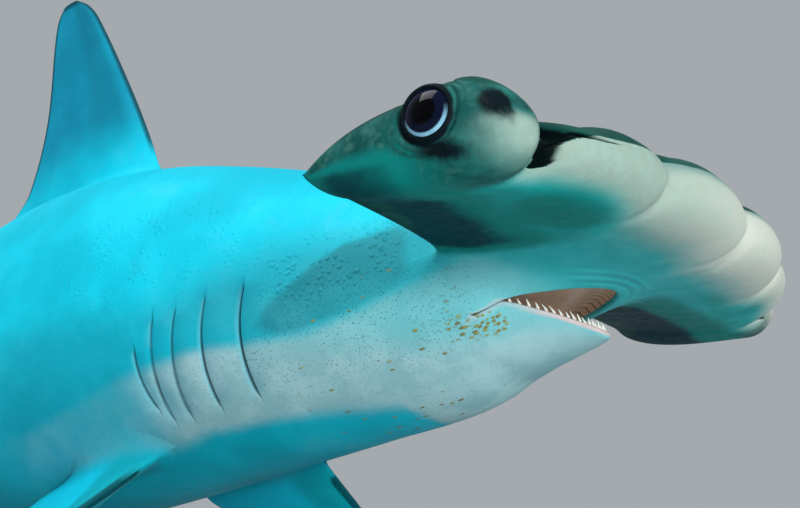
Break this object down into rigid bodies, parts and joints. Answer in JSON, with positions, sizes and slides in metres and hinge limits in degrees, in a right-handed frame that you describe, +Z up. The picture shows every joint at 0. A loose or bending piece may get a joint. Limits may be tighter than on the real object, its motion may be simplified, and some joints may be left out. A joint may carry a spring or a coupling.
{
  "type": "scalloped hammerhead shark, life-size still model on a display stand",
  "caption": "Life-size scalloped hammerhead shark with its mouth open, as a still model on a flat base with rods.",
  "frame": {"origin": "centre of the underside of the stand's base, on the floor", "axes": "+Z up, +X along the animal towards its snout, +Y to the animal's left"},
  "size_m": [2.4923, 0.7033, 1.0124],
  "materials": {
    "skin": "satin shark skin, grey-green above and cream-white below, modelled as a firm casting",
    "eye": "polished dark glass eye",
    "teeth": "glossy white enamel",
    "mouth_lining": "moist brown-pink lining",
    "stand_paint": "satin dark grey paint",
    "stand_steel": "brushed steel rod"
  },
  "bodies": {
    "root": {"head_middle": "skin", "hammer_wing_left": "skin", "hammer_wing_right": "skin", "lower_jaw": "skin", "gill_section": "skin", "trunk_front": "skin", "trunk_rear": "skin", "tail_stem": "skin", "tail_upper_lobe": "skin", "tail_lower_lobe": "skin", "first_dorsal_fin": "skin", "second_dorsal_fin": "skin", "anal_fin": "skin", "pectoral_fin_left": "skin", "pectoral_fin_right": "skin", "pelvic_fin_left": "skin", "pelvic_fin_right": "skin", "eye_left": "eye", "eye_right": "eye", "stand_base": "stand_paint", "stand_flange_front": "stand_paint", "stand_flange_rear": "stand_paint", "stand_rod_front": "stand_steel", "stand_rod_rear": "stand_steel"}
  },
  "joints": []
}
